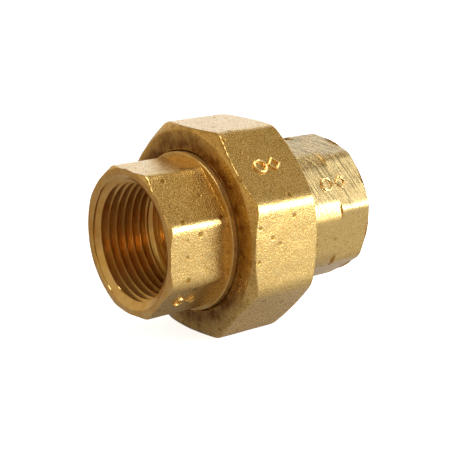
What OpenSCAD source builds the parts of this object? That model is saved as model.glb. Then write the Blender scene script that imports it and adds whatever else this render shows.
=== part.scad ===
// Three-piece ground-joint pipe union: tailpiece, union nut and threaded body.
// The bore runs along X, the tailpiece is at -X and the nut stands on one flat.
// The origin is on the bore axis, halfway between the two end faces. Millimetres.

/* [Whole fitting] */
// Length from end face to end face with the nut made up
fitting_length = 50.8; // [50:0.1:56]
// Turn of the threaded body about the bore against the nut's flats, in degrees
body_turn = 11.7; // [0:0.1:44.9]
// Turn of the tailpiece about the bore against the nut's flats, in degrees
tail_turn = 1; // [0:0.1:44.9]

/* [Pipe ports] */
// Bore of each pipe port, at tapping-drill size
port_bore_d = 23.42; // [22.6:0.01:23.8]
// Depth of each pipe port from its end face
port_depth = 14.5; // [13:0.1:15.5]
// Mouth of the countersink in each end face
countersink_d = 27; // [25:0.1:28]
// Waterway between the two ports
waterway_d = 21; // [18:0.1:21.4]

/* [End octagons] */
// Across the flats of the octagon on the tailpiece and on the body
end_flats = 29.1; // [28.6:0.1:30]
// Radius to which the octagons' corners are rounded off
end_corner_r = 15.6; // [15.3:0.05:15.7]
// Outer edge of each turned end face
end_face_d = 29.3; // [28.4:0.1:30]
// Radius of the skim cut on the body's corners next to the union thread
skim_r = 15.1; // [14.7:0.05:15.2]
// Distance of the skim cut's shoulder from the body's end face
skim_shoulder = 7.9; // [4:0.1:14]

/* [Tailpiece] */
// Round collar that the nut turns on
collar_d = 32.4; // [31:0.1:32.6]
// Length of the octagon, from the end face to the collar
tail_octagon_length = 13.4; // [10:0.1:13.8]
// Shoulder that the nut's lip pulls on
shoulder_d = 35.8; // [34.6:0.1:36.4]

/* [Union nut] */
// Across the flats of the nut's octagon
nut_flats = 42.5; // [41.5:0.1:46]
// Length of the nut
nut_length = 16.5; // [15.5:0.1:18]
// Distance from the tailpiece's end face to the nut's front face
nut_setback = 14.4; // [14:0.1:15]
// Hole in the nut's lip, around the collar
nut_hole_d = 33; // [32.8:0.1:33.8]
// Thickness of the lip
lip_thickness = 3; // [2.4:0.1:3.2]
// Radius to which the nut's corners are rounded off
nut_corner_r = 22.8; // [22.4:0.1:23]
// Outer edge of the nut's two faces, inside the chamfer
nut_face_d = 41.2; // [40.4:0.1:42]
// Angle of the nut's chamfers from its faces, in degrees
nut_chamfer_angle = 30; // [15:1:40]

/* [Union thread] */
// Male thread as a plain cylinder at its pitch diameter
thread_d = 37; // [36.7:0.05:37.2]
// Running clearance between the two threads, on the radius
thread_clearance = 0.07; // [0.03:0.01:0.1]
// Distance between two turns of the thread
thread_pitch = 1.5875; // [1.4:0.0001:1.6]
// Turns from tight to clear of the thread
thread_turns = 6; // [5:0.25:6]
// Length of thread that stands out behind the tight nut
thread_tail = 1.3; // [0.5:0.1:3]

/* [Ground seat] */
// Radius of the ball on the tailpiece's nose
ball_r = 19.2; // [18.8:0.1:19.8]
// Mouth of the 45-degree seat in the threaded body
seat_mouth_d = 30.8; // [30.4:0.1:31]
// Gap between the ball and the seat, and between the lip and the shoulder
seat_gap = 0.05; // [0.02:0.01:0.1]
// Gap between the shoulder and the body's front face
face_gap = 0.5; // [0.3:0.05:0.8]

/* [Hidden] */
$fn = 96;
octagon_sides = 8;
flat_up = 180 / octagon_sides;
overcut = 1; // how far a cut runs out past the face that it opens
root = 1; // how far a bar runs into the one that it stands on
end_chamfer_angle = 30; // from the end faces, in degrees
nose_setback = 1.2; // of the nose behind the inner end of the seat
tail_end = -fitting_length / 2;
body_end = fitting_length / 2;
collar_face = tail_end + tail_octagon_length;
nut_front = tail_end + nut_setback;
nut_rear = nut_front + nut_length;
lip_back = nut_front + lip_thickness;
shoulder_back = lip_back + seat_gap;
body_front = nut_rear - thread_turns * thread_pitch;
shoulder_front = body_front - face_gap;
thread_end = nut_rear + thread_tail;
nose_end = body_front + (seat_mouth_d - waterway_d) / 2 - nose_setback;
ball_centre = body_front + seat_mouth_d / 2 - sqrt(2) * (ball_r + seat_gap);

function corner_radius(flats) = flats / 2 / cos(180 / octagon_sides);

// A round bar or hole along X between two stations, tapered if the ends differ
module turned(from, to, d1, d2) {
    translate([from, 0, 0])
        rotate([0, 90, 0])
            cylinder(h = to - from, d1 = d1, d2 = d2);
}

// An octagonal bar along X between two stations, with one flat underneath
module octagon_bar(from, to, flats) {
    translate([from, 0, 0])
        rotate([0, 90, 0])
            rotate([0, 0, flat_up])
                cylinder(h = to - from, r = corner_radius(flats), $fn = octagon_sides);
}

// What a lathe leaves of an end octagon whose end face is at x = 0 and faces -X
module end_blank(length) {
    corner_d = 2 * end_corner_r;
    intersection() {
        turned(0, length, corner_d, corner_d);
        turned(0, length, end_face_d, end_face_d + 2 * length / tan(end_chamfer_angle));
    }
}

// The port, its countersink and the waterway, cut from an end face at x = 0
module port_cut(length) {
    sink = (countersink_d - port_bore_d) / 2;
    turned(-overcut, sink, countersink_d + 2 * overcut, port_bore_d);
    turned(0, port_depth, port_bore_d, port_bore_d);
    turned(0, length, waterway_d, waterway_d);
}

// Female end with the collar, the shoulder and the ball seat
module tailpiece() {
    color([0.80, 0.66, 0.42])
    difference() {
        union() {
            rotate([tail_turn, 0, 0])
                intersection() {
                    octagon_bar(tail_end, collar_face + root, end_flats);
                    translate([tail_end, 0, 0])
                        end_blank(tail_octagon_length + root);
                }
            turned(collar_face, shoulder_back + root, collar_d, collar_d);
            turned(shoulder_back, shoulder_front, shoulder_d, shoulder_d);
            intersection() {
                translate([ball_centre, 0, 0])
                    rotate([0, 90, 0])
                        sphere(r = ball_r);
                turned(shoulder_front - root, nose_end, shoulder_d, shoulder_d);
            }
        }
        translate([tail_end, 0, 0])
            port_cut(fitting_length);
    }
}

// Octagonal nut with a lip at the front and the female union thread behind it
module union_nut() {
    corner_d = 2 * nut_corner_r;
    wide_d = nut_face_d + 2 * nut_length / tan(nut_chamfer_angle);
    bore_d = thread_d + 2 * thread_clearance;
    color([0.80, 0.64, 0.36])
    difference() {
        intersection() {
            octagon_bar(nut_front, nut_rear, nut_flats);
            turned(nut_front, nut_rear, corner_d, corner_d);
            turned(nut_front, nut_rear, nut_face_d, wide_d);
            turned(nut_front, nut_rear, wide_d, nut_face_d);
        }
        turned(nut_front - overcut, lip_back, nut_hole_d, nut_hole_d);
        turned(lip_back, nut_rear + overcut, bore_d, bore_d);
    }
}

// Female end with the male union thread and the cone seat
module threaded_body() {
    lead = 1;
    seat_length = (seat_mouth_d - waterway_d) / 2;
    skim_d = 2 * skim_r;
    wide_d = thread_d - 2 * lead + 2 * (thread_end - body_front);
    color([0.80, 0.65, 0.38])
    difference() {
        union() {
            intersection() {
                turned(body_front, thread_end, thread_d, thread_d);
                turned(body_front, thread_end, thread_d - 2 * lead, wide_d);
            }
            rotate([body_turn, 0, 0])
                intersection() {
                    octagon_bar(thread_end - root, body_end, end_flats);
                    union() {
                        turned(thread_end - root, body_end - skim_shoulder + root, skim_d, skim_d);
                        translate([body_end, 0, 0])
                            mirror([1, 0, 0])
                                end_blank(skim_shoulder);
                    }
                }
        }
        translate([body_end, 0, 0])
            mirror([1, 0, 0])
                port_cut(fitting_length);
        turned(body_front, body_front + seat_length, seat_mouth_d, waterway_d);
    }
}

tailpiece();
union_nut();
threaded_body();
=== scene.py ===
"""A three-piece brass pipe union: tailpiece, union nut and threaded body, lying on one flat of its nut."""

import math

import bpy
import bmesh
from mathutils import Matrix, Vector


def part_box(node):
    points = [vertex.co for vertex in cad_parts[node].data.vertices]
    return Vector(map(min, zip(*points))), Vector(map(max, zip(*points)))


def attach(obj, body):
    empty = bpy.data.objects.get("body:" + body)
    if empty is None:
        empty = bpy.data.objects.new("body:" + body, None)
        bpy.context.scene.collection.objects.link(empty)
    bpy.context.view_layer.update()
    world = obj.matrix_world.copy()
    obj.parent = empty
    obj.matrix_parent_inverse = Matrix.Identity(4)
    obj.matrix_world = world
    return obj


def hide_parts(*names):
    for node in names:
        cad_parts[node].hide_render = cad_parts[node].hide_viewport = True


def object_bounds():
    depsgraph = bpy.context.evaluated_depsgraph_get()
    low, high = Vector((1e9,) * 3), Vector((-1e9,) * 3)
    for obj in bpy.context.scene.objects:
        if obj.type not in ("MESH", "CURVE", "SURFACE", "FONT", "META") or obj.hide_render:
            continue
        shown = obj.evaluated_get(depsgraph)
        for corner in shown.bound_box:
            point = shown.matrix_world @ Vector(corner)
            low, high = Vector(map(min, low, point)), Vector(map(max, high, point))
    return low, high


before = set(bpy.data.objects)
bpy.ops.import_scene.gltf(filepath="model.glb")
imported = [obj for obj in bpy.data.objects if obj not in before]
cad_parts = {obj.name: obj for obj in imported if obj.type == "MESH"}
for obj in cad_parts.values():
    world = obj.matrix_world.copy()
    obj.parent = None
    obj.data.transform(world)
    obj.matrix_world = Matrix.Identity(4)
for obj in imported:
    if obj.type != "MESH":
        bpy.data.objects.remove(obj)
cad_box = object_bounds()
mm = 0.001
scene = bpy.context.scene


# --- The tailpiece -------------------------------------------------------------------------------------
# The swivel end. It is sand cast in brass with an octagon for a wrench. Its end face, port, collar,
# shoulder and ball seat are then turned, and a 3/4-14 taper thread is tapped into the port.

class Flow:
    """A value in a node tree. Arithmetic on it adds Math nodes to that tree."""

    def __init__(self, tree, socket):
        self.tree = tree
        self.socket = socket

    def math(self, operation, *others):
        node = self.tree.nodes.new("ShaderNodeMath")
        node.operation = operation
        for socket, source in zip(node.inputs, (self, *others)):
            feed(socket, source)
        return Flow(self.tree, node.outputs[0])

    def __add__(self, other):
        return self.math("ADD", other)

    def __sub__(self, other):
        return self.math("SUBTRACT", other)

    def __mul__(self, other):
        return self.math("MULTIPLY", other)

    def __truediv__(self, other):
        return self.math("DIVIDE", other)

    def __neg__(self):
        return self.math("MULTIPLY", -1.0)


def feed(socket, source):
    """Link a socket to a flow, or set it to a plain value."""
    if isinstance(source, Flow):
        source.tree.links.new(source.socket, socket)
    else:
        socket.default_value = source


def add(tree, kind, feeds=None, output=0, **settings):
    """Add a node, set it, feed its named sockets, and return one of its outputs as a flow."""
    node = tree.nodes.new(kind)
    for name, value in settings.items():
        setattr(node, name, value)
    for name, source in (feeds or {}).items():
        feed(node.inputs[name], source)
    return Flow(tree, node.outputs[output])


def new_tree(name, kind, inputs, outputs):
    """A node group with named inputs (name, socket type, default) and outputs. Returns it and its flows."""
    tree = bpy.data.node_groups.new(name, kind)
    for label, socket_type, default in inputs:
        socket = tree.interface.new_socket(label, in_out="INPUT", socket_type=socket_type)
        if default is not None:
            socket.default_value = default
    for label, socket_type in outputs:
        tree.interface.new_socket(label, in_out="OUTPUT", socket_type=socket_type)
    entry = tree.nodes.new("NodeGroupInput")
    flows = {label: Flow(tree, entry.outputs[label]) for label, _, _ in inputs}
    return tree, flows


def finish_tree(tree, results):
    """Feed the group's outputs."""
    leave = tree.nodes.new("NodeGroupOutput")
    for label, flow in results.items():
        feed(leave.inputs[label], flow)


FLOAT = "NodeSocketFloat"
GEOMETRY = "NodeSocketGeometry"


def read(tree, name):
    """A named attribute of the geometry, as a flow."""
    return add(tree, "GeometryNodeInputNamedAttribute", {"Name": name}, data_type="FLOAT")


def store(tree, geometry, name, value):
    """Write a named attribute on the geometry's points."""
    feeds = {"Geometry": geometry, "Name": name, "Value": value}
    return add(tree, "GeometryNodeStoreNamedAttribute", feeds, data_type="FLOAT", domain="POINT")


def at_angle(tree, station, radius, angle):
    """The point at a station along the bore and a radius from it. The angle is zero at the top."""
    y = -(radius * angle.math("SINE"))
    z = radius * angle.math("COSINE")
    return add(tree, "ShaderNodeCombineXYZ", {"X": station, "Y": y, "Z": z})


def place(tree, geometry, position):
    """Move the geometry's points to a position."""
    return add(tree, "GeometryNodeSetPosition", {"Geometry": geometry, "Position": position})


def xyz(tree, vector):
    """The X, Y and Z of a vector, as three flows."""
    split = tree.nodes.new("ShaderNodeSeparateXYZ")
    feed(split.inputs[0], vector)
    return [Flow(tree, socket) for socket in split.outputs]


def octagon_turning_tree():
    """Turns an outline about the bore, and trims the stretches marked octagon to eight flats."""
    tree, given = new_tree(
        "Turned and eight-sided bar",
        "GeometryNodeTree",
        [
            ("Outline", GEOMETRY, None),
            ("Columns", "NodeSocketInt", 320),
            ("Half Flats", FLOAT, 0.0145),
            ("Turn", FLOAT, 0.0),
            ("Corner Softness", FLOAT, 0.04),
            ("Edge Softness", FLOAT, 0.0005),
        ],
        [("Bar", GEOMETRY)],
    )
    rows = add(tree, "GeometryNodeAttributeDomainSize", {"Geometry": given["Outline"]})
    across = given["Columns"] + 1
    grid = add(tree, "GeometryNodeMeshGrid", {"Vertices X": rows, "Vertices Y": across})
    index = add(tree, "GeometryNodeInputIndex")
    row = ((index + 0.5) / across).math("FLOOR")
    column = index - row * across
    angle = column / given["Columns"] * math.tau

    def along(value, kind):
        feeds = {"Geometry": given["Outline"], "Value": value, "Index": row}
        return add(tree, "GeometryNodeSampleIndex", feeds, data_type=kind)

    station, _, lathe = xyz(tree, along(add(tree, "GeometryNodeInputPosition"), "FLOAT_VECTOR"))
    octagon = along(read(tree, "octagon"), "FLOAT")
    turned = along(read(tree, "turned"), "FLOAT")
    thread = along(read(tree, "thread"), "FLOAT")

    eighth = math.pi / 4
    fold = (angle - given["Turn"]).math("WRAP", eighth / 2, -eighth / 2).math("ABSOLUTE")
    beside = (-fold + eighth).math("COSINE")
    reach = fold.math("COSINE").math("SMOOTH_MAX", beside, given["Corner Softness"])
    flats = given["Half Flats"] / reach
    trimmed = lathe.math("SMOOTH_MIN", flats, given["Edge Softness"])
    radius = lathe + (trimmed - lathe) * octagon
    fade = 0.2 * mm
    cut_by_lathe = ((flats - lathe) / fade + 0.5).math("MAXIMUM", 0.0).math("MINIMUM", 1.0)
    bright = turned * (cut_by_lathe * octagon + (-octagon + 1.0))

    bar = place(tree, grid, at_angle(tree, station, radius, angle))
    bar = store(tree, bar, "angle", angle)
    bar = store(tree, bar, "turned", bright)
    bar = store(tree, bar, "thread", thread)
    finish_tree(tree, {"Bar": bar})
    return tree


def thread_tree():
    """Winds the rows that carry one thread's number into a right-hand screw thread."""
    tree, given = new_tree(
        "Screw thread",
        "GeometryNodeTree",
        [
            ("Bar", GEOMETRY, None),
            ("Number", FLOAT, 1.0),
            ("Pitch", FLOAT, 0.0018),
            ("Depth", FLOAT, 0.0014),
            ("Crest Radius", FLOAT, 0.0118),
            ("Taper", FLOAT, 0.0),
            ("Mouth", FLOAT, 0.0),
            ("End", FLOAT, 0.01),
            ("Mouth Radius", FLOAT, 0.0135),
            ("Mouth Slope", FLOAT, 1.0),
            ("Run-out", FLOAT, 0.003),
            ("Flat", FLOAT, 0.083),
        ],
        [("Bar", GEOMETRY)],
    )
    low = given["Mouth"].math("MINIMUM", given["End"])
    high = given["Mouth"].math("MAXIMUM", given["End"])
    angle = read(tree, "angle")
    station, _, _ = xyz(tree, add(tree, "GeometryNodeInputPosition"))
    lead = given["Pitch"] * angle / math.tau
    wound = (station + lead).math("MAXIMUM", low).math("MINIMUM", high)
    depth_in = (wound - given["Mouth"]).math("ABSOLUTE")
    to_end = (wound - given["End"]).math("ABSOLUTE")
    wave = ((wound - lead) / given["Pitch"] * 2.0).math("PINGPONG", 1.0)
    tooth = (wave - given["Flat"]) / (-(given["Flat"] * 2.0) + 1.0)
    tooth = tooth.math("MAXIMUM", 0.0).math("MINIMUM", 1.0)
    fade = (to_end / given["Run-out"]).math("MINIMUM", 1.0)
    side = given["Depth"].math("SIGN")
    screw = given["Crest Radius"] + given["Taper"] * depth_in + given["Depth"] * tooth * fade
    sink = given["Mouth Radius"] - side * given["Mouth Slope"] * depth_in
    radius = side * (side * screw).math("MAXIMUM", side * sink)
    mine = read(tree, "thread").math("COMPARE", given["Number"], 0.5)
    feeds = {
        "Geometry": given["Bar"],
        "Selection": mine,
        "Position": at_angle(tree, wound, radius, angle),
    }
    bar = add(tree, "GeometryNodeSetPosition", feeds)
    finish_tree(tree, {"Bar": bar})
    return tree


def casting_tree():
    """Closes the bar, sinks its unturned skin unevenly, as sand leaves a casting, and sets its material.

    The bar's normals still face inward here, so the offset along them thins the wall.
    """
    tree, given = new_tree(
        "Sand-cast skin",
        "GeometryNodeTree",
        [
            ("Bar", GEOMETRY, None),
            ("Unevenness", FLOAT, 0.0001),
            ("Swell Size", FLOAT, 0.006),
            ("Seed", FLOAT, 0.0),
            ("Material", "NodeSocketMaterial", None),
        ],
        [("Casting", GEOMETRY)],
    )
    closed = add(tree, "GeometryNodeMergeByDistance", {"Geometry": given["Bar"], "Distance": 0.002 * mm})
    swell = add(
        tree,
        "ShaderNodeTexNoise",
        {"W": given["Seed"], "Scale": given["Swell Size"].math("POWER", -1.0), "Detail": 2.0},
        noise_dimensions="4D",
    )
    inward = swell * given["Unevenness"] * (-read(tree, "turned") + 1.0)
    normal = add(tree, "GeometryNodeInputNormal")
    offset = add(tree, "ShaderNodeVectorMath", {0: normal}, operation="SCALE")
    feed(offset.socket.node.inputs["Scale"], inward)
    skin = add(tree, "GeometryNodeSetPosition", {"Geometry": closed, "Offset": offset})
    skin = add(tree, "GeometryNodeRealizeInstances", {"Geometry": skin})
    skin = add(tree, "GeometryNodeSetMaterial", {"Geometry": skin, "Material": given["Material"]})
    finish_tree(tree, {"Casting": skin})
    return tree


def raised_mark_tree():
    """Adds a cast-on mark to a flat: a closed bead, round or with a few straight sides."""
    tree, given = new_tree(
        "Raised mark",
        "GeometryNodeTree",
        [
            ("Bar", GEOMETRY, None),
            ("Station", FLOAT, 0.0),
            ("Angle", FLOAT, 0.0),
            ("Height", FLOAT, 0.02),
            ("Size", FLOAT, 0.0013),
            ("Sides", "NodeSocketInt", 24),
            ("Bead", FLOAT, 0.0003),
        ],
        [("Bar", GEOMETRY)],
    )
    ring = {"Resolution": given["Sides"], "Radius": given["Size"]}
    loop = add(tree, "GeometryNodeCurvePrimitiveCircle", ring)
    bead = add(tree, "GeometryNodeCurvePrimitiveCircle", {"Resolution": 8, "Radius": given["Bead"]})
    mark = add(tree, "GeometryNodeCurveToMesh", {"Curve": loop, "Profile Curve": bead})
    over = add(tree, "ShaderNodeCombineXYZ", {"X": given["Station"], "Z": given["Height"]})
    mark = add(tree, "GeometryNodeTransform", {"Geometry": mark, "Translation": over})
    round_bore = add(tree, "ShaderNodeCombineXYZ", {"X": given["Angle"]})
    mark = add(tree, "GeometryNodeTransform", {"Geometry": mark, "Rotation": round_bore})
    joined = add(tree, "GeometryNodeJoinGeometry", {"Geometry": given["Bar"]})
    tree.links.new(mark.socket, joined.socket.node.inputs["Geometry"])
    finish_tree(tree, {"Bar": joined})
    return tree


TURNING = octagon_turning_tree()
THREAD = thread_tree()
CASTING = casting_tree()
RAISED_MARK = raised_mark_tree()
ROWS_A_PITCH = 12


def outline(name, corners, spacing):
    """A closed outline of the wall on one side of the bore, as an edge mesh in the XZ plane.

    A corner is (station, radius, rounding, run). The run, which leads to the next corner, is cast or
    turned, with octagon where the flats trim it, or thread with a number and a pitch.
    """
    points = []

    def lay(station, radius, run):
        marks = (float("octagon" in run), float("turned" in run or "thread" in run), 0.0)
        points.append((station, radius, marks))

    count = len(corners)
    rounded = []
    for i, (x, r, rounding, run) in enumerate(corners):
        here = Vector((x, r))
        before = Vector(corners[i - 1][:2]) - here
        after = Vector(corners[(i + 1) % count][:2]) - here
        cut = min(rounding, before.length * 0.45, after.length * 0.45)
        rounded.append((here, before.normalized() * cut, after.normalized() * cut))
    for i, (x, r, rounding, run) in enumerate(corners):
        here, back_off, step_off = rounded[i]
        last_run = corners[i - 1][3]
        bends = 4 if step_off.length > 0.02 * mm else 0
        for k in range(bends + 1):
            t = k / bends if bends else 0.5
            p = here + back_off * (1 - t) ** 2 + step_off * t**2
            lay(p.x, p.y, run if t >= 0.5 else last_run)
        there, arrive, _ = rounded[(i + 1) % count]
        start, stop = here + step_off, there + arrive
        words = run.split()
        if words[0] == "thread":
            number, pitch = float(words[1]), float(words[2]) * mm
            first = math.floor(min(start.x, stop.x) / pitch - 1.0) * ROWS_A_PITCH
            last = math.ceil(max(start.x, stop.x) / pitch) * ROWS_A_PITCH
            steps = [pitch * (j + 0.5) / ROWS_A_PITCH for j in range(first, last)]
            if start.x > stop.x:
                steps.reverse()
            points.extend((h, start.y, (0.0, 1.0, number)) for h in steps)
        else:
            pieces = max(1, round((stop - start).length / spacing)) if "plain" not in run else 1
            for k in range(1, pieces):
                p = start.lerp(stop, k / pieces)
                lay(p.x, p.y, run)
    mesh = bpy.data.meshes.new(name)
    closed = points + points[:1]
    mesh.from_pydata([(x, 0.0, r) for x, r, _ in closed], [(i, i + 1) for i in range(len(points))], [])
    for slot, label in enumerate(("octagon", "turned", "thread")):
        attribute = mesh.attributes.new(label, "FLOAT", "POINT")
        attribute.data.foreach_set("value", [marks[slot] for _, _, marks in closed])
    return mesh


def run_tree(piece, tree, values):
    """Add a Geometry Nodes modifier and set its inputs by their names' identifiers."""
    modifier = piece.modifiers.new(tree.name, "NODES")
    modifier.node_group = tree
    for socket in tree.interface.items_tree:
        if socket.in_out == "INPUT" and socket.name in values:
            modifier[socket.identifier] = values[socket.name]


def add_marks(piece, station, apart, angle, height, size):
    """Cast a ring and a lozenge on a flat, side by side along the bore."""
    for step, sides in ((-apart, 24), (apart, 4)):
        values = {"Station": station + step, "Angle": angle, "Height": height, "Size": size, "Sides": sides}
        run_tree(piece, RAISED_MARK, {**values, "Bead": 0.22 * mm})


def bake(piece):
    """Turn the evaluated piece into a plain mesh with its faces outward and its sharp edges sharp."""
    bpy.context.view_layer.update()
    shape = piece.evaluated_get(bpy.context.evaluated_depsgraph_get())
    mesh = bpy.data.meshes.new_from_object(shape)
    mesh.name = piece.name
    piece.modifiers.clear()
    piece.data = mesh
    work = bmesh.new()
    work.from_mesh(mesh)
    bmesh.ops.dissolve_degenerate(work, dist=0.001 * mm, edges=work.edges)
    step_at_thread_start = [edge for edge in work.edges if edge.is_boundary]
    bmesh.ops.holes_fill(work, edges=step_at_thread_start, sides=3)
    bmesh.ops.recalc_face_normals(work, faces=work.faces)
    work.to_mesh(mesh)
    work.free()
    mesh.shade_smooth()
    mesh.set_sharp_from_angle(angle=math.radians(28))


tail_low, tail_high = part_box("tailpiece")
nut_low, nut_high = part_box("union_nut")
body_low, body_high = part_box("threaded_body")

end_half_flats = 14.55 * mm
end_corner = 15.9 * mm
end_face_radius = 14.7 * mm
face_bevel = 0.75 * mm
sink_radius = 13.5 * mm
waterway = 10.5 * mm
port_depth = 14.5 * mm
pipe_pitch = 25.4 / 14
pipe_depth = 1.451 * mm
pipe_crest = 11.833 * mm
pipe_taper = -1 / 32
collar_radius = 16.2 * mm
octagon_end = tail_low.x + 13.4 * mm
shoulder_back = nut_low.x + 3.05 * mm
shoulder_front = body_low.x - 0.5 * mm
ball_radius = 19.2 * mm
nose_radius = 11.26 * mm
nose_end = tail_high.x
ball_centre = nose_end - math.sqrt(ball_radius**2 - nose_radius**2)
ball_foot = math.sqrt(ball_radius**2 - (shoulder_front - ball_centre) ** 2)
port_end_radius = pipe_crest + pipe_taper * port_depth


def arc_corners(centre, radius, start, stop, pieces, run):
    """Corners along a circular arc in the outline's plane, between two angles from the bore."""
    angles = [start + (stop - start) * k / pieces for k in range(1, pieces)]
    return [(centre + radius * math.cos(a), radius * math.sin(a), 0.0, run) for a in angles]


def pipe_thread(mouth, end):
    """The modifier's values for a 3/4-14 taper thread cut in from a port's mouth."""
    return {
        "Number": 1.0,
        "Pitch": pipe_pitch * mm,
        "Depth": pipe_depth,
        "Crest Radius": pipe_crest,
        "Taper": pipe_taper,
        "Mouth": mouth,
        "End": end,
        "Mouth Radius": sink_radius,
        "Mouth Slope": 1.7,
        "Run-out": 3.0 * mm,
    }


VECTOR = "NodeSocketVector"
COLOUR = "NodeSocketColor"


def noise(tree, vector, size, detail=2.0, roughness=0.5):
    """Noise whose lumps are about one size across, in metres."""
    feeds = {"Vector": vector, "Detail": detail, "Roughness": roughness}
    feeds["Scale"] = size.math("POWER", -1.0) if isinstance(size, Flow) else 1 / size
    return add(tree, "ShaderNodeTexNoise", feeds)


def ramp(value, low, high):
    """Nought below one value and one above another."""
    feeds = {"Value": value, "From Min": low, "From Max": high}
    return add(value.tree, "ShaderNodeMapRange", feeds, interpolation_type="SMOOTHSTEP")


def blend_colours(tree, share, first, second):
    """One colour turning into another as a share goes from nought to one."""
    node = tree.nodes.new("ShaderNodeMix")
    node.data_type = "RGBA"
    feed(node.inputs[0], share)
    feed(node.inputs[6], first)
    feed(node.inputs[7], second)
    return Flow(tree, node.outputs[2])


def cast_skin_group():
    """Tumbled sand-cast brass: a pebbly grain, darker hollows between its grains, and scattered pits."""
    tree, given = new_tree(
        "Sand-cast grain",
        "ShaderNodeTree",
        [
            ("Place", VECTOR, None),
            ("Grain Size", FLOAT, 0.0005),
            ("Bright", COLOUR, (0.88, 0.615, 0.22, 1)),
            ("Dull", COLOUR, (0.50, 0.27, 0.05, 1)),
        ],
        [("Color", COLOUR), ("Roughness", FLOAT), ("Height", FLOAT)],
    )
    place_at = given["Place"]
    grain = noise(tree, place_at, given["Grain Size"], 3.0, 0.6)
    mottle = noise(tree, place_at, given["Grain Size"] * 7.0, 3.0, 0.55)
    pit_cells = {"Vector": place_at, "Scale": 1 / (3.0 * mm)}
    pits = add(tree, "ShaderNodeTexVoronoi", pit_cells)
    chosen = add(tree, "ShaderNodeTexVoronoi", pit_cells, output=1)
    pick = ramp(add(tree, "ShaderNodeSeparateColor", {"Color": chosen}), 0.45, 0.55)
    pit = ramp(-pits, -0.24, -0.12) * pick
    hollow = ramp(-grain, -0.52, -0.36)
    dull = (hollow * 0.75 + ramp(mottle, 0.5, 0.8) * 0.2 + pit * 1.0).math("MINIMUM", 1.0)
    finish_tree(
        tree,
        {
            "Color": blend_colours(tree, dull, given["Bright"], given["Dull"]),
            "Roughness": mottle * 0.1 + hollow * 0.15 + 0.2,
            "Height": grain + mottle * 0.5 - pit * 0.8,
        },
    )
    return tree


def turned_group():
    """Machined brass: fine rings from the tool's feed, with a slight change of tone between them."""
    tree, given = new_tree(
        "Lathe finish",
        "ShaderNodeTree",
        [
            ("Place", VECTOR, None),
            ("Feed", FLOAT, 0.00015),
            ("Tone", COLOUR, (0.84, 0.60, 0.25, 1)),
            ("Warm", COLOUR, (0.74, 0.46, 0.13, 1)),
        ],
        [("Color", COLOUR), ("Roughness", FLOAT), ("Height", FLOAT)],
    )
    x, y, z = xyz(tree, given["Place"])
    radius = (y * y + z * z).math("SQRT")
    ring_place = add(tree, "ShaderNodeCombineXYZ", {"X": x * 0.6 + radius})
    rings = noise(tree, ring_place, given["Feed"], 1.0, 0.5)
    patches = noise(tree, given["Place"], 3.0 * mm, 3.0, 0.6)
    finish_tree(
        tree,
        {
            "Color": blend_colours(tree, ramp(patches, 0.35, 0.7), given["Tone"], given["Warm"]),
            "Roughness": patches * 0.14 + rings * 0.08 + 0.1,
            "Height": rings,
        },
    )
    return tree


def grinding_group():
    """Slanting scratches that a belt leaves on the flats and corners it has dressed."""
    tree, given = new_tree(
        "Belt scratches",
        "ShaderNodeTree",
        [("Place", VECTOR, None), ("Slant", FLOAT, 0.5), ("Spacing", FLOAT, 0.0004)],
        [("Height", FLOAT), ("Shade", FLOAT)],
    )
    x, y, z = xyz(tree, given["Place"])
    typical_radius = 15 * mm
    around = (-y).math("ARCTAN2", z) * typical_radius
    across = x * given["Slant"].math("COSINE") - around * given["Slant"].math("SINE")
    along = x * given["Slant"].math("SINE") + around * given["Slant"].math("COSINE")
    streaks = add(tree, "ShaderNodeCombineXYZ", {"X": across, "Y": along * 0.06})
    streak = noise(tree, streaks, given["Spacing"], 2.0, 0.6)
    finish_tree(tree, {"Height": streak, "Shade": ramp(-streak, -0.5, -0.38)})
    return tree


CAST_SKIN = cast_skin_group()
LATHE_FINISH = turned_group()
BELT_SCRATCHES = grinding_group()


def use_group(tree, group, feeds):
    """Place a node group in a tree and return its outputs by name."""
    node = tree.nodes.new("ShaderNodeGroup")
    node.node_tree = group
    for name, source in feeds.items():
        feed(node.inputs[name], source)
    return {socket.name: Flow(tree, socket) for socket in node.outputs}


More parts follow.
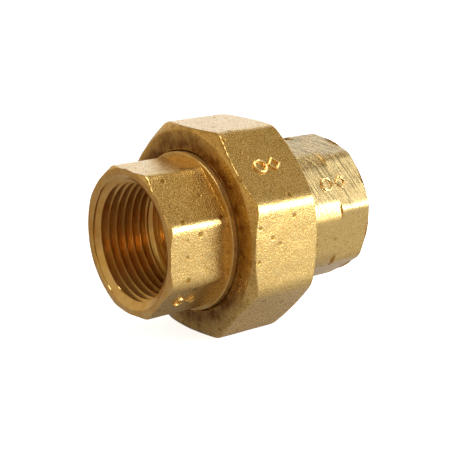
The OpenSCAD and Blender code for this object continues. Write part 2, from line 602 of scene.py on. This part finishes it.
def brass_finish(name, grain_size, grain_depth, scratch_depth, slant, oxide_and_shade_end=-1.0):
    """Brass that is sand cast where its turned mark is nought, and machined where it is one.

    Cast skin on the -X side of the last argument's station takes blotches of brown oxide. Near the bore it
    also takes a painted shade and painted reflection of dark brown, where the tailpiece enters. Scratches
    as deep as full_scratch leave paler, freshly cut brass on the upper flats.
    """
    full_scratch = 0.16 * mm
    # brown of the oxide blotches, and of the painted shade and reflection near the nut's bore
    oxide_and_shade_brown = (0.2, 0.075, 0.008, 1)
    fresh_cut = (0.76, 0.61, 0.31, 1)
    scratch_floor = (0.22, 0.17, 0.06, 1)
    material = bpy.data.materials.new(name)
    material.use_nodes = True
    tree = material.node_tree
    shader = tree.nodes["Principled BSDF"]
    place_at = add(tree, "ShaderNodeTexCoord", output=3)
    turned = add(tree, "ShaderNodeAttribute", output=2, attribute_name="turned")
    cast = use_group(tree, CAST_SKIN, {"Place": place_at, "Grain Size": grain_size})
    lathe = use_group(tree, LATHE_FINISH, {"Place": place_at})
    belt = use_group(tree, BELT_SCRATCHES, {"Place": place_at, "Slant": slant})
    x, y, z = xyz(tree, place_at)
    dressed = ramp(z, 1 * mm, 4 * mm)
    rough = cast["Height"] * grain_depth + belt["Height"] * dressed * scratch_depth
    height = rough + (lathe["Height"] * (0.003 * mm) - rough) * turned
    from_bore = (y * y + z * z).math("SQRT")
    behind = ramp(-x, -oxide_and_shade_end, -oxide_and_shade_end + 0.5 * mm) * (-turned + 1.0)
    blotch = ramp(noise(tree, place_at, 2.5 * mm, 4.0, 0.6), 0.4, 0.65)
    # painted shade and reflection: darker brown towards the bore, where the tailpiece enters the nut's
    # front face
    painted_shade_by_hole = ramp(-from_bore, -21 * mm, -17.5 * mm)
    stain_and_painted_shade = behind * (blotch * 0.35 + painted_shade_by_hole * 0.65)
    skin = blend_colours(tree, stain_and_painted_shade, cast["Color"], oxide_and_shade_brown)
    scratched = dressed * min(1.0, scratch_depth / full_scratch)
    skin = blend_colours(tree, scratched * 0.45, skin, fresh_cut)
    scored = belt["Shade"] * scratched * 0.8
    skin = blend_colours(tree, scored, skin, scratch_floor)
    colour = blend_colours(tree, turned, skin, lathe["Color"])
    gloss = cast["Roughness"] + (lathe["Roughness"] - cast["Roughness"]) * turned
    feed(shader.inputs["Base Color"], colour)
    feed(shader.inputs["Roughness"], gloss)
    feed(shader.inputs["Metallic"], turned * -0.2 + 1.0)
    shader.inputs["Coat Weight"].default_value = 0.1
    shader.inputs["Coat Roughness"].default_value = 0.35
    relief = add(tree, "ShaderNodeBump", {"Height": height, "Distance": 1.0, "Strength": 1.0})
    feed(shader.inputs["Normal"], relief)
    return material


tail_brass = brass_finish("Tailpiece brass", 0.34 * mm, 0.05 * mm, 0.01 * mm, 0.6)

tail_turn = math.radians(1.0)
tail_port_end = tail_low.x + port_depth
tail_corners = [
    (tail_low.x, sink_radius, 0.1 * mm, "turned plain"),
    (tail_low.x, end_face_radius, 0.1 * mm, "turned octagon"),
    (tail_low.x + face_bevel, end_corner, 0.3 * mm, "cast octagon"),
    (octagon_end, end_corner, 0.12 * mm, "turned plain"),
    (octagon_end, collar_radius, 0.15 * mm, "turned plain"),
    (shoulder_back, collar_radius, 0.2 * mm, "turned plain"),
    (shoulder_back, tail_high.z, 0.2 * mm, "turned plain"),
    (shoulder_front, tail_high.z, 0.2 * mm, "turned plain"),
    (shoulder_front, ball_foot, 0.0, "turned plain"),
    *arc_corners(
        ball_centre,
        ball_radius,
        math.asin(ball_foot / ball_radius),
        math.asin(nose_radius / ball_radius),
        8,
        "turned plain",
    ),
    (nose_end, nose_radius, 0.1 * mm, "turned plain"),
    (nose_end, waterway, 0.1 * mm, "turned plain"),
    (tail_port_end, waterway, 0.1 * mm, "turned plain"),
    (tail_port_end, port_end_radius, 0.0, f"thread 1 {pipe_pitch}"),
]
tailpiece = bpy.data.objects.new("tailpiece_casting", outline("tailpiece", tail_corners, 0.35 * mm))
scene.collection.objects.link(tailpiece)
run_tree(
    tailpiece,
    TURNING,
    {
        "Columns": 320,
        "Half Flats": end_half_flats,
        "Turn": tail_turn,
        "Corner Softness": 0.08,
        "Edge Softness": 0.25 * mm,
    },
)
run_tree(tailpiece, THREAD, pipe_thread(tail_low.x, tail_port_end))
tail_mark_station = tail_low.x + 6.2 * mm
add_marks(tailpiece, tail_mark_station, 1.5 * mm, tail_turn + math.radians(135), end_half_flats, 1.1 * mm)
tail_skin = {"Unevenness": 0.15 * mm, "Swell Size": 5 * mm, "Seed": 1.0, "Material": tail_brass}
run_tree(tailpiece, CASTING, tail_skin)
bake(tailpiece)
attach(tailpiece, "tailpiece")
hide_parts("tailpiece")


# --- The union nut -------------------------------------------------------------------------------------
# The octagonal nut that draws the two ends together. It is cast in brass with rough faces and soft
# corners, then bored for the collar and tapped with a 1-1/2 in thread of 16 turns per inch.

nut_half_flats = nut_high.z
nut_corner = 23.2 * mm
nut_face_radius = 20.6 * mm
nut_hole = 16.5 * mm
nut_chamfer = (nut_corner - nut_face_radius) * math.tan(math.radians(30))
lip_back = nut_low.x + 3.0 * mm
union_pitch = 25.4 / 16
union_depth = 0.86 * mm
nut_crest = 18.19 * mm
nut_mouth = 19.3 * mm

nut_corners = [
    (nut_low.x, nut_hole, 0.3 * mm, "cast"),
    (nut_low.x, nut_face_radius, 0.4 * mm, "cast octagon"),
    (nut_low.x + nut_chamfer, nut_corner, 0.4 * mm, "cast octagon"),
    (nut_high.x - nut_chamfer, nut_corner, 0.6 * mm, "cast octagon"),
    (nut_high.x, nut_face_radius, 0.6 * mm, "cast"),
    (nut_high.x, nut_mouth, 0.1 * mm, f"thread 2 {union_pitch}"),
    (lip_back, nut_crest, 0.1 * mm, "turned plain"),
    (lip_back, nut_hole, 0.2 * mm, "turned plain"),
]
union_nut = bpy.data.objects.new("union_nut_casting", outline("union_nut", nut_corners, 0.4 * mm))
scene.collection.objects.link(union_nut)
run_tree(
    union_nut,
    TURNING,
    {
        "Columns": 400,
        "Half Flats": nut_half_flats,
        "Turn": 0.0,
        "Corner Softness": 0.075,
        "Edge Softness": 0.5 * mm,
    },
)
run_tree(
    union_nut,
    THREAD,
    {
        "Number": 2.0,
        "Pitch": union_pitch * mm,
        "Depth": union_depth,
        "Crest Radius": nut_crest,
        "Taper": 0.0,
        "Mouth": nut_high.x,
        "End": lip_back,
        "Mouth Radius": nut_mouth,
        "Mouth Slope": 1.0,
        "Run-out": 1.5 * mm,
    },
)
nut_middle = (nut_low.x + nut_high.x) / 2
add_marks(union_nut, nut_middle, 1.7 * mm, math.radians(45), nut_half_flats, 1.3 * mm)
# the last value ends the oxide blotches and the painted shade at the nut's front face
nut_brass = brass_finish("Union nut brass", 0.36 * mm, 0.055 * mm, 0.0, 0.0, nut_low.x + 0.9 * mm)
nut_skin = {"Unevenness": 0.2 * mm, "Swell Size": 6 * mm, "Seed": 2.0, "Material": nut_brass}
run_tree(union_nut, CASTING, nut_skin)
bake(union_nut)
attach(union_nut, "union_nut")
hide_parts("union_nut")


# --- The threaded body ---------------------------------------------------------------------------------
# The other end. It is cast like the tailpiece, and turned with the male union thread that the nut runs
# on, a 45-degree seat for the ball, and a second tapped port. The lathe also skims the octagon's corners.

body_turn = math.radians(11.7)
thread_end = nut_high.x + 1.3 * mm
skim_radius = 15.1 * mm
skim_shoulder = body_high.x - 7.9 * mm
seat_mouth = 15.4 * mm
body_crest = 18.95 * mm
body_mouth = 17.9 * mm
body_port_end = body_high.x - port_depth

body_corners = [
    (body_low.x, seat_mouth, 0.15 * mm, "turned plain"),
    (body_low.x, body_mouth, 0.0, f"thread 2 {union_pitch}"),
    (thread_end, body_crest, 0.1 * mm, "turned plain"),
    (thread_end, skim_radius, 0.3 * mm, "cast octagon"),
    (skim_shoulder, skim_radius, 0.1 * mm, "cast octagon"),
    (skim_shoulder, end_corner, 0.1 * mm, "cast octagon"),
    (body_high.x - face_bevel, end_corner, 0.3 * mm, "turned octagon"),
    (body_high.x, end_face_radius, 0.1 * mm, "turned plain"),
    (body_high.x, sink_radius, 0.1 * mm, f"thread 1 {pipe_pitch}"),
    (body_port_end, port_end_radius, 0.0, "turned plain"),
    (body_port_end, waterway, 0.1 * mm, "turned plain"),
    (body_low.x + seat_mouth - waterway, waterway, 0.1 * mm, "turned plain"),
]
body_outline = outline("threaded_body", body_corners, 0.35 * mm)
threaded_body = bpy.data.objects.new("threaded_body_casting", body_outline)
scene.collection.objects.link(threaded_body)
run_tree(
    threaded_body,
    TURNING,
    {
        "Columns": 320,
        "Half Flats": end_half_flats,
        "Turn": body_turn,
        "Corner Softness": 0.08,
        "Edge Softness": 0.25 * mm,
    },
)
run_tree(
    threaded_body,
    THREAD,
    {
        "Number": 2.0,
        "Pitch": union_pitch * mm,
        "Depth": -union_depth,
        "Crest Radius": body_crest,
        "Taper": 0.0,
        "Mouth": body_low.x,
        "End": thread_end,
        "Mouth Radius": body_mouth,
        "Mouth Slope": 1.0,
        "Run-out": 1.5 * mm,
    },
)
run_tree(threaded_body, THREAD, pipe_thread(body_high.x, body_port_end))
add_marks(threaded_body, skim_shoulder, 1.9 * mm, body_turn + math.radians(45), end_half_flats, 1.3 * mm)
body_brass = brass_finish("Threaded body brass", 0.34 * mm, 0.03 * mm, 0.16 * mm, 0.3)
body_skin = {"Unevenness": 0.15 * mm, "Swell Size": 5 * mm, "Seed": 3.0, "Material": body_brass}
run_tree(threaded_body, CASTING, body_skin)
bake(threaded_body)
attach(threaded_body, "threaded_body")
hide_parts("threaded_body")


# --- The table, the light and the camera ---------------------------------------------------------------
# A sweep under soft studio light. Camera rays see it plain white, while reflections see painted shade, warm
# and dim on its -X side, and painted light, cool and paler on its +X side, and it glows as painted light.
# The fitting stands on one flat of its nut.

floor_size = 4.0
floor_mesh = bpy.data.meshes.new("floor")
half = floor_size / 2
ground = cad_box[0][2]
corners = [(-half, -half, ground), (half, -half, ground), (half, half, ground), (-half, half, ground)]
floor_mesh.from_pydata(corners, [], [(0, 1, 2, 3)])
floor = bpy.data.objects.new("floor", floor_mesh)
scene.collection.objects.link(floor)
white = bpy.data.materials.new("Sweep with painted light and shade")
white.use_nodes = True
sweep = white.node_tree
sweep_shader = sweep.nodes["Principled BSDF"]
floor_x, _, _ = xyz(sweep, add(sweep, "ShaderNodeTexCoord", output=3))
lit_side = ramp(floor_x, -0.075, 0.01)
seen = add(sweep, "ShaderNodeLightPath")
# painted shade and light: to reflection rays the paper is warm and dark on the -X side, cool and pale on
# the +X side, and dimmer overall
shaded_side_paper = (0.66, 0.50, 0.34, 1)
lit_side_paper = (0.86, 0.89, 0.98, 1)
plain_white = (1, 1, 1, 1)
shade = blend_colours(sweep, lit_side, shaded_side_paper, lit_side_paper)
shade = blend_colours(sweep, seen, shade, plain_white)
dim = blend_colours(sweep, seen, (0.4, 0.4, 0.4, 1), (0.85, 0.85, 0.85, 1))
paper = sweep.nodes.new("ShaderNodeMix")
paper.data_type = "RGBA"
paper.blend_type = "MULTIPLY"
feed(paper.inputs[0], 1.0)
feed(paper.inputs[6], shade)
feed(paper.inputs[7], dim)
sweep.links.new(paper.outputs[2], sweep_shader.inputs["Base Color"])
sweep_shader.inputs["Roughness"].default_value = 0.7
# painted light: the sweep glows, strongly for camera rays so that it shows plain white, and weakly for all
# other rays
feed(sweep_shader.inputs["Emission Color"], shade)
feed(sweep_shader.inputs["Emission Strength"], seen * 0.69 + 0.13)
floor_mesh.materials.append(white)

world = bpy.data.worlds.new("Studio")
scene.world = world
world.use_nodes = True
sky = world.node_tree
toward_x, _, upward = xyz(sky, add(sky, "ShaderNodeTexCoord"))
dark_above = ramp(upward, math.sin(math.radians(31)), math.sin(math.radians(42)))
open_side = ramp(toward_x, -0.3, 0.4)
warm_wall = (0.5, 0.39, 0.24, 1)
cool_wall = (0.95, 1, 1.14, 1)
dark_ceiling = (0.19, 0.125, 0.025, 1)
side_wall = blend_colours(sky, open_side, warm_wall, cool_wall)
studio = blend_colours(sky, dark_above, side_wall, dark_ceiling)
backdrop = add(sky, "ShaderNodeLightPath")
feed(sky.nodes["Background"].inputs["Color"], blend_colours(sky, backdrop, studio, plain_white))
sky.nodes["Background"].inputs["Strength"].default_value = 1.15
scene.view_settings.view_transform = "Standard"


def direction(azimuth, elevation):
    """The unit vector from the fitting to a place seen at an azimuth and an elevation, in degrees."""
    a, e = math.radians(azimuth), math.radians(elevation)
    return Vector((math.sin(a) * math.cos(e), -math.cos(a) * math.cos(e), math.sin(e)))


def soft_light(name, azimuth, elevation, distance, width, height, power):
    """A soft box that faces the fitting."""
    data = bpy.data.lights.new(name, "AREA")
    data.shape = "RECTANGLE"
    data.size = width
    data.size_y = height
    data.energy = power
    lamp = bpy.data.objects.new(name, data)
    away = direction(azimuth, elevation)
    lamp.location = away * distance
    lamp.rotation_euler = away.to_track_quat("Z", "Y").to_euler()
    lamp.visible_camera = False
    scene.collection.objects.link(lamp)


soft_light("side_box", 35, 12, 0.6, 0.24, 0.26, 2.6)
soft_light("top_box", 0, 90, 1.0, 0.8, 0.8, 5.8)

view_azimuth = -38.03
view_elevation = 15.59
view_distance = 242.9 * mm
aim = Vector((-3.73, -4.63, -0.11)) * mm
camera_data = bpy.data.cameras.new("camera")
camera_data.sensor_width = 36
camera_data.lens = 93.9
camera_data.clip_start = 0.01
camera_data.clip_end = 20
camera = bpy.data.objects.new("camera", camera_data)
camera.location = aim + direction(view_azimuth, view_elevation) * view_distance
camera.rotation_euler = direction(view_azimuth, view_elevation).to_track_quat("Z", "Y").to_euler()
scene.collection.objects.link(camera)
scene.camera = camera
